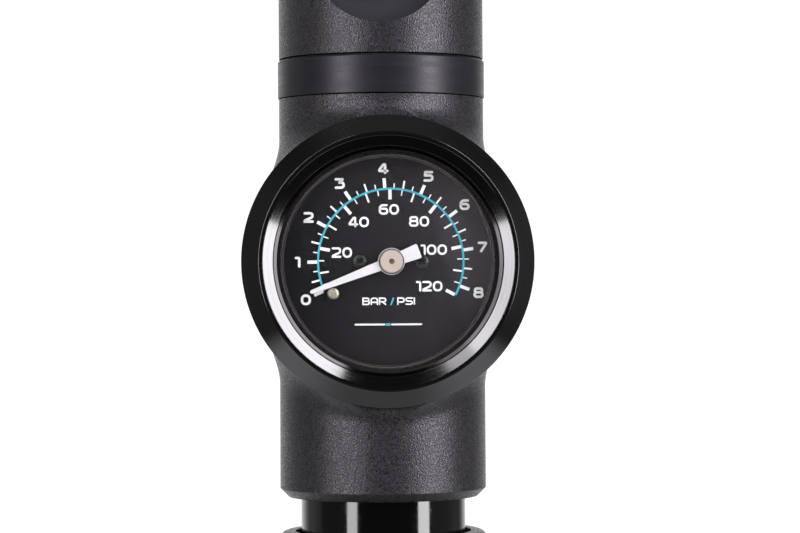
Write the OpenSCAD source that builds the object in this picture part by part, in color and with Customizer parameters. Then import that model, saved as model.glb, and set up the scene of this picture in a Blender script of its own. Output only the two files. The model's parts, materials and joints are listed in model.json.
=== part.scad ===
// Hand pump for suspension forks and shocks, with a dial gauge in its head.
// The origin is the centre of the flat end of the handle, +Z runs up the pump's
// axis to the hose port, and -Y is the front, where the gauge faces.
// All sizes are in millimetres, and the handle is shown pushed home.

/* [Handle] */
// Outer radius of the rubber grip
grip_r = 14.6; // [14.2:0.1:15.4]
// Height of the handle's top lip above its flat end
lip_z = 128.15; // [126:0.05:129]
// Outer radius of the moulded lip ring
lip_r = 14.2; // [14:0.1:14.4]
// Grip ribs along the handle
rib_count = 16; // [8:1:20]

/* [Pump barrel] */
// Outer radius of the barrel
barrel_r = 11.3; // [11.1:0.1:11.35]
// Inner radius of the barrel
bore_r = 9.8; // [9.6:0.1:10]
// Height of the barrel's lower end
barrel_low = 12; // [12:0.5:16]
// Height of the barrel's upper end
barrel_high = 144; // [143:0.5:144]
// Radius of the piston rod
rod_r = 4; // [3.5:0.1:4]

/* [Gauge head] */
// Height of the gauge's centre
gauge_z = 165; // [164.5:0.1:165.5]
// Outer radius of the moulded gauge body at its top
body_r = 14.05; // [14:0.05:14.3]
// How much wider the gauge body is at its lower end
body_draft = 0.1; // [0:0.05:0.3]
// Radius of the round boss that holds the gauge
boss_r = 18.6; // [18.4:0.1:19]
// Radius of the collar ring
collar_r = 14.2; // [14:0.05:14.3]
// Radius of the head cap
cap_r = 14.05; // [13.9:0.05:14.2]
// Radius of the thumb dish in the head cap
dish_r = 8.85; // [8:0.05:9]
// Sideways offset of the thumb dish
dish_x = -0.8; // [-1:0.1:1]

/* [Gauge] */
// Outer radius of the bezel
bezel_r = 19.5; // [19.3:0.1:20]
// Sideways offset of the dial and the needle in the gauge case
dial_x = 0.5; // [0:0.1:0.6]
// Length of the needle from its pivot to its tip
needle_tip = 11.6; // [10:0.1:12]
// Resting direction of the needle, clockwise from straight up
needle_rest = -110.7; // [-112:0.1:-110.7]
// Turn of the needle from rest to full scale
needle_sweep = 229; // [180:1:229]
// Gear module of the gauge movement
gear_module = 0.2; // [0.2:0.01:0.2]
// Teeth on the pinion
pinion_teeth = 12; // [12:1:12]
// Teeth on a full circle of the sector gear
sector_teeth = 84; // [84:1:84]

/* [Hose port] */
// Radius of the hose port's hole
port_r = 3.5; // [3:0.1:4]
// Depth of the hose port
port_depth = 8; // [6:0.5:8]

/* [Hidden] */
$fn = 96;

plastic = "#36343a";
black = "#141416";
rubber = "#232325";
brass = "#c2a15a";
steel = "#b9bcc0";
aluminium = "#9a9da2";

nudge = 0.01;                       // overshoot of every cutting tool
gap = 0.05;                         // fitted gap between parts that never move apart
running = 0.05;                     // radial clearance of a running fit
seal_gap = 0.05;                    // clearance left at the rubbing face of a seal

// Heights along the pump axis
body_low = gauge_z - 32.1;
body_high = gauge_z + 22.37;
collar_low = body_high + 0.15;
collar_high = collar_low + 5.24;
cap_low = collar_high + 0.15;
cap_roof = cap_low + 29.09;
cap_high = cap_roof + 3;
button_z = gauge_z + 40.75;
flange_high = barrel_high + 2;      // top of the manifold's flange
plug_low = barrel_high - 8;         // bottom of the manifold's plug
swivel_low = 213;
swivel_flange = 219.1;
swivel_high = 238;

// Depths towards the back, along +Y
case_back = -0.9;
case_front = -13.3;
dial_back = -11.6;
dial_front = -12;
lens_back = -14.1;
lens_front = -15.1;
boss_front = -14.4;
crest_y = -16.6;
floor_y = 0.6;                      // back of the wall behind the gauge case
riser_y = 6.2;
cap_flat = -8.5;                    // inner face of the wall behind the thumb dish
dish_floor = -10.3;

// Radii
case_r = 16.5;
case_wall = 1.1;
hollow_r = 12.3;
block_r = 12;
riser_r = 5;
sleeve_in = barrel_r + 0.8;
sleeve_out = sleeve_in + 1.5;
piston_r = bore_r - 0.1;

// Piston and rod
piston_low = 125;
piston_high = 133;
thread_r = 3;

// Gauge movement
pinion_pitch = gear_module * pinion_teeth / 2;
sector_pitch = gear_module * sector_teeth / 2;
pivot_drop = pinion_pitch + sector_pitch;
sector_sweep = needle_sweep * pinion_teeth / sector_teeth;
sector_lean = sector_sweep / 2;     // tilt of the sector at rest, clockwise
tail_r = 3.2;
tail_angle = 130 + sector_lean;     // clockwise from straight up, at rest
tube_r = 12.6;
low_post = [-2.9, 0.3 - pivot_drop];  // lower spacer post of the movement
tip_angle = 92;                     // where the tube's tip tab holds the link
arbor_r = 0.4;
sector_arbor_r = 0.5;
link_pin_r = 0.35;
pin_angle = -118.7;                 // stop pin, clockwise from straight up
pin_radius = 8.83;

// ---------- shared shapes ----------

// Places a shape drawn in the X-Z plane, as seen from the front. Its extrusion
// starts at the depth y_back and comes towards the front.
module facing(y_back, x = 0, z = gauge_z)
    translate([x, y_back, z])
        rotate([90, 0, 0])
            children();

// Turns a point on the dial, clockwise from straight up, at a radius
module at_dial(angle, radius)
    rotate(-angle)
        translate([0, radius])
            children();

module ring(outer, inner, height)
    difference() {
        cylinder(r = outer, h = height);
        translate([0, 0, -nudge])
            cylinder(r = inner, h = height + 2 * nudge);
    }

module seal_ring(mean_r, wire_r)
    rotate_extrude()
        translate([mean_r, 0])
            circle(r = wire_r, $fn = 32);

// Hexagonal nut: across_flats wide, with a round hole
module nut(across_flats, hole_r, height)
    difference() {
        cylinder(r = across_flats / sqrt(3), h = height, $fn = 6);
        translate([0, 0, -nudge])
            cylinder(r = hole_r, h = height + 2 * nudge);
    }

// Open coil spring standing on z = 0
function coil_point(mean_r, wire_r, height, turns, step, steps, side, sides) =
    let (turn = 360 * turns * step / steps, around = 360 * side / sides,
         reach = mean_r + wire_r * cos(around))
        [reach * cos(turn), reach * sin(turn),
         wire_r + (height - 2 * wire_r) * step / steps + wire_r * sin(around)];

module coil_spring(mean_r, wire_r, height, turns) {
    sides = 6;
    steps = 12 * turns;
    points = [for (step = [0:steps], side = [0:sides - 1])
        coil_point(mean_r, wire_r, height, turns, step, steps, side, sides)];
    walls = [for (step = [0:steps - 1], side = [0:sides - 1])
        let (next = (side + 1) % sides, low = step * sides, high = low + sides)
            [low + side, high + side, high + next, low + next]];
    first_end = [for (side = [0:sides - 1]) side];
    last_end = [for (side = [sides - 1:-1:0]) steps * sides + side];
    polyhedron(points, concat([first_end, last_end], walls));
}

// Point on an involute of the base circle, after unrolling by an angle
function involute(base_r, roll) =
    [base_r * (cos(roll) + roll * PI / 180 * sin(roll)),
     base_r * (sin(roll) - roll * PI / 180 * cos(roll))];

function polar(angle, radius) = [radius * cos(angle), radius * sin(angle)];

// Involute tooth pointing along +Y, for a gear of the given number of teeth
module tooth(teeth, addendum, dedendum, backlash) {
    pressure = 20;
    steps = 5;
    pitch_r = gear_module * teeth / 2;
    base_r = pitch_r * cos(pressure);
    top_r = pitch_r + addendum * gear_module;
    root_r = pitch_r - dedendum * gear_module;
    low_r = max(base_r, root_r);
    roll_pitch = tan(pressure) * 180 / PI;
    half = 90 / teeth - backlash / pitch_r * 90 / PI + roll_pitch - pressure;
    rolls = [for (step = [0:steps])
        sqrt(pow(low_r + (top_r - low_r) * step / steps, 2) / pow(base_r, 2) - 1) * 180 / PI];
    flank = [for (roll = rolls)
        let (point = involute(base_r, roll))
            polar(90 - half + atan2(point[1], point[0]), norm(point))];
    mirrored = [for (step = [steps:-1:0]) [-flank[step][0], flank[step][1]]];
    foot_r = root_r - gear_module / 2;
    foot = [polar(90 - half, foot_r)];
    polygon(concat(foot, flank, mirrored, [[-foot[0][0], foot[0][1]]]));
}

// ---------- moulded head ----------

// Tube of the gauge body, with its draft and its chamfered lower rim
module body_tube() {
    rim = 1.15;
    low_r = body_r + body_draft;
    rotate_extrude()
        polygon([[0, body_low], [low_r - rim, body_low], [low_r, body_low + rim],
                 [body_r, body_high], [0, body_high]]);
}

// Boss for the gauge, about its own axis, with a rounded back edge
module boss() {
    back = 2;
    round_r = 4;
    side = boss_r - round_r;
    depth = back - boss_front;
    arc = [for (turn = [90:-10:0]) [side + round_r * cos(turn), depth - round_r + round_r * sin(turn)]];
    facing(boss_front)
        mirror([0, 0, 1])
            rotate_extrude()
                polygon(concat([[0, 0], [0, depth]], arc, [[boss_r, 0]]));
}

module gauge_body() {
    skirt_step = -12.4;
    stem_hole_r = 2.6;
    color(plastic)
        difference() {
            union() {
                body_tube();
                boss();
            }
            translate([0, 0, body_low - 1])
                cylinder(r = barrel_r + gap, h = flange_high - body_low + 1);
            intersection() {
                translate([0, 0, flange_high - nudge])
                    cylinder(r = hollow_r, h = body_high - flange_high + 1);
                translate([-20, floor_y, flange_high - 1])
                    cube([40, 20, body_high - flange_high + 3]);
            }
            facing(case_back)
                cylinder(r = case_r + gap, h = 20);
            facing(skirt_step)
                cylinder(r = 17.5, h = 5);
            facing(floor_y + 1, 0, gauge_z - 8)
                cylinder(r = stem_hole_r, h = 5);
        }
}

module head_cap() {
    edge_r = 2.5;
    hole_r = 4.6;
    button_hole_r = 4.8;
    arc = [for (turn = [0:15:90])
        [cap_r - edge_r + edge_r * cos(turn), cap_high - edge_r + edge_r * sin(turn)]];
    color(plastic)
        difference() {
            rotate_extrude()
                polygon(concat([[0, cap_low], [cap_r, cap_low]], arc, [[0, cap_high]]));
            intersection() {
                translate([0, 0, cap_low - 1])
                    cylinder(r = block_r + gap, h = cap_roof - cap_low + 1);
                translate([-20, cap_flat, cap_low - 2])
                    cube([40, 40, 60]);
            }
            facing(dish_floor, dish_x, button_z)
                cylinder(r = dish_r, h = 10);
            facing(cap_flat + 1, dish_x, button_z)
                cylinder(r = button_hole_r, h = 5);
            translate([0, 0, cap_roof - 1])
                cylinder(r = hole_r, h = 5);
        }
}

module collar_ring() {
    chamfer = 0.3;
    color(black)
        rotate_extrude()
            polygon([[block_r + gap, collar_low], [collar_r, collar_low], [collar_r, collar_high - chamfer],
                     [collar_r - chamfer, collar_high], [block_r + gap, collar_high]]);
}

// ---------- barrel and air path ----------

module barrel() {
    color(black)
        translate([0, 0, barrel_low])
            ring(barrel_r, bore_r, barrel_high - barrel_low);
}

module air_manifold() {
    pocket_r = 4;
    pocket_high = 144.5;
    channel_r = 1.5;
    cross_r = 1;
    riser_top = 196;
    branch_z = gauge_z - 8;
    color(aluminium)
        difference() {
            union() {
                translate([0, 0, plug_low])
                    cylinder(r = piston_r, h = 8);
                translate([0, 0, barrel_high])
                    cylinder(r = barrel_r, h = 2);
                translate([0, riser_y, flange_high])
                    cylinder(r = riser_r, h = riser_top - flange_high);
                facing(riser_y, 0, branch_z)
                    cylinder(r = 4, h = riser_y - floor_y - 0.2);
            }
            translate([0, 0, plug_low - 1])
                cylinder(r = pocket_r, h = pocket_high - plug_low + 1);
            translate([0, 0, 138.2])
                ring(12, 8.1, 2);
            facing(riser_y, 0, pocket_high - 0.1)
                cylinder(r = cross_r, h = riser_y);
            translate([0, riser_y, pocket_high - 1])
                cylinder(r = channel_r, h = 60);
            translate([0, riser_y, 190.4])
                ring(6, 3.85, 1.2);
            facing(4.5, 0, branch_z)
                cylinder(r = 2.5 + gap, h = 6);
            facing(riser_y, 0, branch_z)
                cylinder(r = cross_r, h = 5);
        }
}

module barrel_seal() {
    color(rubber)
        translate([0, 0, 139.2])
            seal_ring(8.93, 0.8);
}

module riser_seal() {
    color(rubber)
        translate([0, riser_y, 191])
            seal_ring(4.42, 0.55);
}

module valve_block() {
    block_low = body_high + 0.2;
    block_high = cap_roof;
    channel_r = 1.5;
    bush_r = 3;
    color(aluminium)
        difference() {
            translate([0, 0, block_low])
                cylinder(r = block_r, h = block_high - block_low);
            translate([-20, -30, collar_high])
                cube([40, 30 + cap_flat + 0.2, 60]);
            translate([0, riser_y, block_low - 1])
                cylinder(r = riser_r + gap, h = 196.2 - block_low + 1);
            translate([0, riser_y, 190])
                cylinder(r = channel_r, h = button_z - 190);
            facing(-3.5, dish_x, button_z)
                cylinder(r = 6, h = 10);
            facing(1.6, dish_x, button_z)
                cylinder(r = bush_r, h = 6);
            facing(9.2, dish_x, button_z)
                cylinder(r = 3.4, h = 7.6 + nudge);
            translate([0, 2.5, button_z])
                cylinder(r = 1.2, h = swivel_low - button_z);
            translate([0, 0, swivel_low - 0.5])
                cylinder(r = 4 + running, h = 20);
            translate([0, 0, swivel_flange - 0.1])
                cylinder(r = 6, h = 10);
        }
}

module check_seat() {
    color(brass)
        translate([0, 0, plug_low])
            ring(4, 1.5, 3);
}

module check_poppet() {
    color(rubber)
        translate([0, 0, plug_low + 3.05]) {
            cylinder(r = 3, h = 1.35);
            cylinder(r = 1, h = 3.5);
        }
}

module check_spring() {
    color(steel)
        translate([0, 0, plug_low + 4.45])
            coil_spring(1.8, 0.2, 4, 4);
}

module rod_guide() {
    guide_high = barrel_low + 8;
    color(plastic)
        difference() {
            union() {
                translate([0, 0, barrel_low - 2.5])
                    cylinder(r = barrel_r, h = 2.5);
                translate([0, 0, barrel_low])
                    cylinder(r = bore_r, h = guide_high - barrel_low);
            }
            translate([0, 0, barrel_low - 3])
                cylinder(r = rod_r + running, h = 12);
            translate([0, 0, barrel_low + 2])
                cylinder(r = 5.45, h = 1.5);
        }
}

module rod_wiper() {
    color(rubber)
        translate([0, 0, barrel_low + 2.75])
            seal_ring(rod_r + 0.75, 0.65);
}

module stop_bumper() {
    color(rubber)
        translate([0, 0, barrel_low + 8])
            ring(9.4, 5.2, 2.5);
}

// ---------- gauge ----------

module gauge_case() {
    color(steel)
        difference() {
            facing(case_back)
                cylinder(r = case_r, h = case_back - case_front);
            facing(case_back - case_wall)
                cylinder(r = case_r - case_wall, h = 20);
            facing(case_back + 1, 0, gauge_z - 8)
                cylinder(r = 2.5 + gap, h = 4);
        }
}

// Socket that takes air from the manifold into the tube
module gauge_socket() {
    tab_back = case_back - case_wall;
    color(brass)
        difference() {
            union() {
                facing(4.2, 0, gauge_z - 8)
                    cylinder(r = 2.5, h = 4.2 - tab_back);
                intersection() {
                    facing(tab_back)
                        cylinder(r = case_r - case_wall - gap, h = 1.5);
                    translate([-4.5, -10, gauge_z - 20])
                        cube([9, 20, 15.5]);
                }
                facing(tab_back - 1.4)
                    rotate(260)
                        rotate_extrude(angle = 14)
                            translate([tube_r - 0.9, 0])
                                square([3.3, 5.6]);
            }
            facing(5, 0, gauge_z - 8)
                cylinder(r = 0.8, h = 6.5);
            facing(3, 0, gauge_z - 8)
                difference() {
                    cylinder(r = 4, h = 1.2);
                    cylinder(r = 1.5, h = 1.2);
                }
            for (x = [dial_x - 2.7, dial_x + 2.7])
                facing(-2.4, x, gauge_z - 6)
                    cylinder(r = 0.6, h = 3);
        }
}

module gauge_seal() {
    color(rubber)
        facing(2.4, 0, gauge_z - 8)
            seal_ring(2, 0.5);
}

// C-shaped pressure tube of oval section, with the tab at its closed tip
module bourdon_tube() {
    section = [for (turn = [0:15:345]) [tube_r + 0.7 * cos(turn), 2 * sin(turn)]];
    tip_end = 80;
    tab_over = 2;
    tab_turn = tip_angle + 6 - tip_end + tab_over;
    color(brass)
        difference() {
            union() {
                facing(-6)
                    rotate(90 - tip_end)
                        rotate_extrude(angle = 250)
                            polygon(section);
                facing(-5)
                    rotate(90 - tip_angle - 6)
                        rotate_extrude(angle = tab_turn)
                            translate([tube_r - 1.2, 0])
                                square([2.4, 0.9]);
            }
            facing(-4)
                at_dial(tip_angle, tube_r)
                    cylinder(r = link_pin_r, h = 3);
        }
}

// Outline of one bearing plate of the movement
module plate_outline() {
    circle(r = 5.05);
    translate([0, -pivot_drop])
        circle(r = 1.9);
    translate(low_post)
        circle(r = 1.3);
    translate([-3.5, -pivot_drop])
        square([7, pivot_drop]);
}

module movement_frame() {
    rear_plate = -3.5;
    front_plate = -9.2;
    plate = 0.8;
    color(brass)
        difference() {
            union() {
                for (depth = [rear_plate, front_plate])
                    facing(depth, dial_x)
                        linear_extrude(plate)
                            plate_outline();
                facing(rear_plate, dial_x)
                    translate([0, 3.8, 0])
                        cylinder(r = 0.8, h = rear_plate - front_plate);
                facing(rear_plate, dial_x)
                    translate(low_post)
                        cylinder(r = 0.8, h = rear_plate - front_plate);
                for (side = [-1, 1])
                    facing(front_plate, dial_x + side * 4.15)
                        cylinder(r = 0.88, h = front_plate - dial_back);
            }
            facing(rear_plate + 1, dial_x)
                cylinder(r = arbor_r + running, h = 9);
            facing(rear_plate + 1, dial_x, gauge_z - pivot_drop)
                cylinder(r = sector_arbor_r + running, h = 9);
            for (side = [-1, 1]) {
                facing(front_plate + 1, dial_x + side * 4.15)
                    cylinder(r = 0.5, h = 5);
                facing(rear_plate + 1, dial_x + side * 2.7, gauge_z - 6)
                    cylinder(r = 0.6, h = 2.5);
            }
        }
}

module movement_screws() {
    color(steel)
        for (side = [-1, 1])
            facing(-2.4, dial_x + side * 2.7, gauge_z - 6) {
                cylinder(r = 0.6, h = 2);
                translate([0, 0, 1.9])
                    difference() {
                        cylinder(r = 1, h = 0.6);
                        translate([-1.2, -0.15, 0.3])
                            cube([2.4, 0.3, 1]);
                    }
            }
}

// Flat spiral that takes up the slack of the gears
module hairspring() {
    turns = 3.5;
    first_r = 1.15;
    pitch = 0.55;
    half = 0.07;
    steps = 24 * turns;
    spiral = [for (step = [0:steps]) [360 * turns * step / steps, first_r + pitch * turns * step / steps]];
    outer = [for (point = spiral) polar(point[0], point[1] + half)];
    inner = [for (step = [steps:-1:0]) polar(spiral[step][0], spiral[step][1] - half)];
    color(steel)
        facing(-7.9, dial_x)
            linear_extrude(0.6)
                polygon(concat(outer, inner));
}

module dial_plate() {
    color(black)
        difference() {
            facing(dial_back)
                cylinder(r = case_r - case_wall - gap, h = dial_back - dial_front);
            facing(dial_back + 1, dial_x)
                cylinder(r = 0.8, h = 3);
            for (side = [-1, 1])
                facing(dial_back + 1, dial_x + side * 4.15)
                    cylinder(r = 0.5, h = 3);
            facing(dial_back + 1, dial_x)
                at_dial(pin_angle, pin_radius)
                    cylinder(r = 0.5, h = 3);
        }
}

module dial_screws() {
    head = 0.4;
    color(black)
        for (side = [-1, 1])
            facing(-9.8, dial_x + side * 4.15) {
                cylinder(r = 0.5, h = 2.3);
                translate([0, 0, 2.2])
                    difference() {
                        cylinder(r = 0.89, h = head);
                        for (turn = [0, 90])
                            rotate(turn)
                                translate([-0.55, -0.12, head / 2])
                                    cube([1.1, 0.24, 1]);
                    }
            }
}

module stop_pin() {
    color(steel)
        facing(dial_back, dial_x)
            at_dial(pin_angle, pin_radius) {
                cylinder(r = 0.5, h = 0.5);
                translate([0, 0, 0.4])
                    cylinder(r = 0.76, h = 1.5);
            }
}

module dial_spacer() {
    color(black)
        facing(dial_front)
            ring(case_r - case_wall - gap, 13.9, dial_front - case_front);
}

module lens_gasket() {
    color("#6b625e")
        facing(case_front)
            ring(case_r, 14.2, case_front - lens_back);
}

module gauge_lens() {
    color([0.8, 0.85, 0.9, 0.35])
        facing(lens_back)
            cylinder(r = case_r, h = lens_back - lens_front);
}

module bezel() {
    skirt_back = -12.6;
    skirt_r = 17.4;
    rim_y = boss_front - gap;
    lip_r = 15.3;
    lip_y = -15.75;
    profile = [[case_r + 0.1, -skirt_back], [skirt_r, -skirt_back], [skirt_r, -rim_y], [bezel_r, -rim_y],
               [bezel_r, -rim_y + 0.45], [17.2, -crest_y], [16.7, -crest_y], [lip_r, -lip_y],
               [lip_r, -lens_front], [case_r + 0.1, -lens_front]];
    color(black)
        facing(0)
            rotate_extrude()
                polygon(profile);
}

// ---------- needle, gears and link ----------

module needle() {
    hub_half = 0.7;
    tip_half = 0.25;
    tail = 3.9;
    color("white")
        facing(-12.9, dial_x)
            rotate(-needle_rest)
                linear_extrude(0.2)
                    difference() {
                        polygon([[-hub_half, 0], [-tip_half, needle_tip - 0.3], [0, needle_tip],
                                 [tip_half, needle_tip - 0.3], [hub_half, 0], [1, -tail], [-1, -tail]]);
                        circle(r = 0.65);
                    }
}

module needle_hub() {
    color("#d3c3bb")
        facing(-12.5, dial_x)
            difference() {
                union() {
                    cylinder(r = 0.65, h = 0.7);
                    cylinder(r = 1.2, h = 0.4);
                    translate([0, 0, 0.6])
                        cylinder(r = 1.63, h = 0.6);
                }
                translate([0, 0, -1])
                    cylinder(r = arbor_r, h = 4);
            }
}

module needle_arbor() {
    color(brass)
        facing(-3.6, dial_x)
            cylinder(r = arbor_r, h = 10.3);
}

module pinion() {
    addendum = 0.75;
    dedendum = 1.15;
    width = 1.4;
    color(brass)
        facing(-5.8, dial_x)
            linear_extrude(width)
                rotate(needle_sweep / 2 + 180 / pinion_teeth)
                    difference() {
                        union() {
                            circle(r = pinion_pitch - dedendum * gear_module);
                            for (index = [0:pinion_teeth - 1])
                                rotate(360 * index / pinion_teeth)
                                    tooth(pinion_teeth, addendum, dedendum, 0.03);
                        }
                        circle(r = arbor_r);
                    }
}

module sector_gear() {
    addendum = 0.75;
    dedendum = 1.15;
    reach = 5;
    step = 360 / sector_teeth;
    root_r = sector_pitch - dedendum * gear_module;
    spread = (reach + 0.5) * step;
    fan = concat([[0, 0]], [for (turn = [-spread:spread / 8:spread]) polar(90 + turn, root_r)]);
    color(brass)
        facing(-6, dial_x, gauge_z - pivot_drop)
            rotate(-sector_lean)
                difference() {
                    linear_extrude(1)
                        difference() {
                            union() {
                                polygon(fan);
                                circle(r = 1.7);
                                for (index = [-reach:reach])
                                    rotate(index * step)
                                        tooth(sector_teeth, addendum, dedendum, 0.03);
                                rotate(sector_lean)
                                    at_dial(tail_angle, 0)
                                        translate([-0.8, 0])
                                            square([1.6, tail_r]);
                                rotate(sector_lean)
                                    at_dial(tail_angle, tail_r)
                                        circle(r = 1);
                            }
                            circle(r = sector_arbor_r);
                            rotate(sector_lean)
                                at_dial(tail_angle, tail_r)
                                    circle(r = link_pin_r);
                            translate([0, 4.6])
                                circle(r = 1.2);
                        }
                }
}

module sector_pins() {
    color(steel) {
        facing(-3.6, dial_x, gauge_z - pivot_drop)
            cylinder(r = sector_arbor_r, h = 6.3);
        facing(-6, dial_x, gauge_z - pivot_drop)
            at_dial(tail_angle, tail_r)
                cylinder(r = link_pin_r, h = 2.2);
    }
}

// Flat link from the sector's tail to the tube's tip
module drive_link() {
    tail = [dial_x + tail_r * sin(tail_angle), -pivot_drop + tail_r * cos(tail_angle)];
    tip = [tube_r * sin(tip_angle), tube_r * cos(tip_angle)];
    length = norm(tip - tail);
    lean = atan2(tip[1] - tail[1], tip[0] - tail[0]);
    color(steel)
        facing(-7.2)
            translate(tail)
                rotate(lean)
                    linear_extrude(0.5)
                        difference() {
                            union() {
                                circle(r = 0.9);
                                translate([length, 0])
                                    circle(r = 0.9);
                                translate([0, -0.5])
                                    square([length, 1]);
                            }
                            circle(r = link_pin_r + running);
                            translate([length, 0])
                                circle(r = link_pin_r + running);
                        }
}

// ---------- bleed button ----------

module bleed_button() {
    head_r = 4.5;
    color("#4a4a4e")
        difference() {
            union() {
                facing(cap_flat, dish_x, button_z)
                    cylinder(r = head_r, h = 4);
                facing(cap_flat + 1.3, dish_x, button_z)
                    cylinder(r = 5.7, h = 1);
                facing(cap_flat + 1.3, dish_x, button_z)
                    cylinder(r = head_r, h = 1.5);
            }
            facing(cap_flat + 2, dish_x, button_z)
                cylinder(r = 1.2, h = 2.5);
        }
}

module bleed_pin() {
    color(steel)
        facing(3.8, dish_x, button_z) {
            cylinder(r = 2.6, h = 1.2);
            cylinder(r = 1.2, h = 3.8 - cap_flat + 0.5);
        }
}

module bleed_seal() {
    color(rubber)
        facing(2.1, dish_x, button_z)
            seal_ring(1.75, 0.5);
}

module bleed_bush() {
    color(brass)
        facing(1.5, dish_x, button_z)
            ring(3, 1.2 + running, 5);
}

module bleed_spring() {
    color(steel)
        facing(-3.5, dish_x, button_z)
            coil_spring(2.2, 0.25, 3.7, 3);
}

// ---------- hose swivel ----------

module swivel_outlet() {
    neck_r = 4.1;
    base_r = 7.2;
    flats = 12.5;
    base_low = cap_high + 0.5;
    base_high = base_low + 2.5;
    color(steel)
        difference() {
            union() {
                translate([0, 0, swivel_low])
                    cylinder(r = 4, h = swivel_flange - swivel_low);
                translate([0, 0, swivel_flange])
                    cylinder(r = 5.7, h = 1.3);
                translate([0, 0, swivel_flange + 1.3])
                    cylinder(r = neck_r, h = base_low - swivel_flange - 1.3);
                translate([0, 0, base_low])
                    cylinder(r = base_r, h = base_high - base_low);
                translate([0, 0, base_high])
                    intersection() {
                        cylinder(r = flats / sqrt(3), h = swivel_high - base_high, $fn = 6);
                        cylinder(r1 = 12, r2 = flats / 2 + 0.2, h = swivel_high - base_high);
                    }
            }
            translate([0, 0, swivel_low - 1])
                cylinder(r = 1, h = 30);
            translate([0, 0, 215.1])
                ring(6, 3, 1.2);
            translate([0, 0, swivel_high - port_depth])
                cylinder(r = port_r, h = port_depth + 1);
        }
}

module swivel_seal() {
    color(rubber)
        translate([0, 0, 215.7])
            seal_ring(3.5, 0.5);
}

module swivel_retainer() {
    color(steel)
        translate([0, 0, swivel_flange + 1.5])
            ring(6, 4.3, 1.4);
}

// ---------- handle ----------

module handle_sleeve() {
    color(plastic)
        translate([0, 0, 5])
            ring(sleeve_out, sleeve_in, lip_z - 9.5);
}

// Moulded ring over the sleeve's end, with a rounded shoulder
module handle_lip() {
    crest_r = sleeve_in + 0.1;
    round_r = lip_r - crest_r;
    skirt_low = 114;
    sleeve_top = lip_z - 4.5;
    arc = [for (turn = [0:10:90])
        [crest_r + round_r * cos(turn), lip_z - round_r + round_r * sin(turn)]];
    color(black)
        rotate_extrude()
            polygon(concat([[sleeve_out, skirt_low], [lip_r, skirt_low]], arc,
                           [[sleeve_in, lip_z - 0.1], [sleeve_in, sleeve_top], [sleeve_out, sleeve_top]]));
}

// Rubber grip with rounded ribs all the way down
module handle_grip() {
    low = 5;
    high = 114;
    groove = 0.8;
    pitch = (high - low) / rib_count;
    steps = 8;
    wave = [for (rib = [0:rib_count - 1], step = [0:steps - 1])
        [grip_r - groove * pow(abs(cos(180 * step / steps)), 6), low + pitch * (rib + step / steps)]];
    color(rubber)
        rotate_extrude()
            polygon(concat([[sleeve_out, low]], wave, [[grip_r - groove, high], [sleeve_out, high]]));
}

module handle_end_cap() {
    edge = 1.2;
    plug_high = 8.5;
    color(plastic)
        difference() {
            rotate_extrude()
                polygon([[0, 0], [grip_r - edge, 0], [grip_r, edge], [grip_r, 5], [sleeve_in - gap, 5],
                         [sleeve_in - gap, plug_high], [0, plug_high]]);
            translate([0, 0, 2])
                cylinder(r = rod_r, h = 10);
            translate([0, 0, 5])
                cylinder(r = 13.1 / sqrt(3), h = 10, $fn = 6);
        }
}

module rod_anchor() {
    color(steel)
        translate([0, 0, 5])
            nut(13, rod_r, 3.5);
}

module rod_bumper() {
    color(rubber)
        translate([0, 0, 8.5])
            ring(8, rod_r, 0.7);
}

module piston_rod() {
    color(steel) {
        translate([0, 0, 2])
            cylinder(r = rod_r, h = piston_low - 2);
        translate([0, 0, piston_low])
            cylinder(r = thread_r, h = piston_high - piston_low + 2.2);
    }
}

module piston() {
    color(aluminium)
        difference() {
            translate([0, 0, piston_low])
                ring(piston_r, thread_r, piston_high - piston_low);
            translate([0, 0, piston_low + 3.2])
                ring(12, 8.1, 2);
        }
}

module piston_seal() {
    color(rubber)
        translate([0, 0, piston_low + 4.2])
            seal_ring(bore_r - seal_gap - 0.8, 0.8);
}

module piston_nut() {
    color(steel)
        translate([0, 0, piston_high])
            nut(8, thread_r, 2.2);
}

gauge_body();
head_cap();
collar_ring();
barrel();
air_manifold();
barrel_seal();
valve_block();
riser_seal();
check_seat();
check_spring();
rod_guide();
rod_wiper();
stop_bumper();
gauge_case();
gauge_socket();
gauge_seal();
bourdon_tube();
movement_frame();
movement_screws();
hairspring();
dial_plate();
dial_screws();
stop_pin();
dial_spacer();
lens_gasket();
gauge_lens();
bezel();
bleed_bush();
bleed_spring();
swivel_retainer();
handle_sleeve();
handle_lip();
handle_grip();
handle_end_cap();
rod_anchor();
rod_bumper();
piston_rod();
piston();
piston_seal();
piston_nut();
needle();
needle_hub();
needle_arbor();
pinion();
sector_gear();
sector_pins();
drive_link();
swivel_outlet();
swivel_seal();
bleed_button();
bleed_pin();
bleed_seal();
check_poppet();
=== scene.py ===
"""Looks of the suspension pump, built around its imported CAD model.

Lengths are in millimetres until a mesh is made, and every place comes from the frame's
nodes and joints. The pump stands on z = 0, -Y is its front, and +Z is up.
"""
import json
import math

import bmesh
import bpy
import numpy as np
from mathutils import Matrix, Vector


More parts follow.
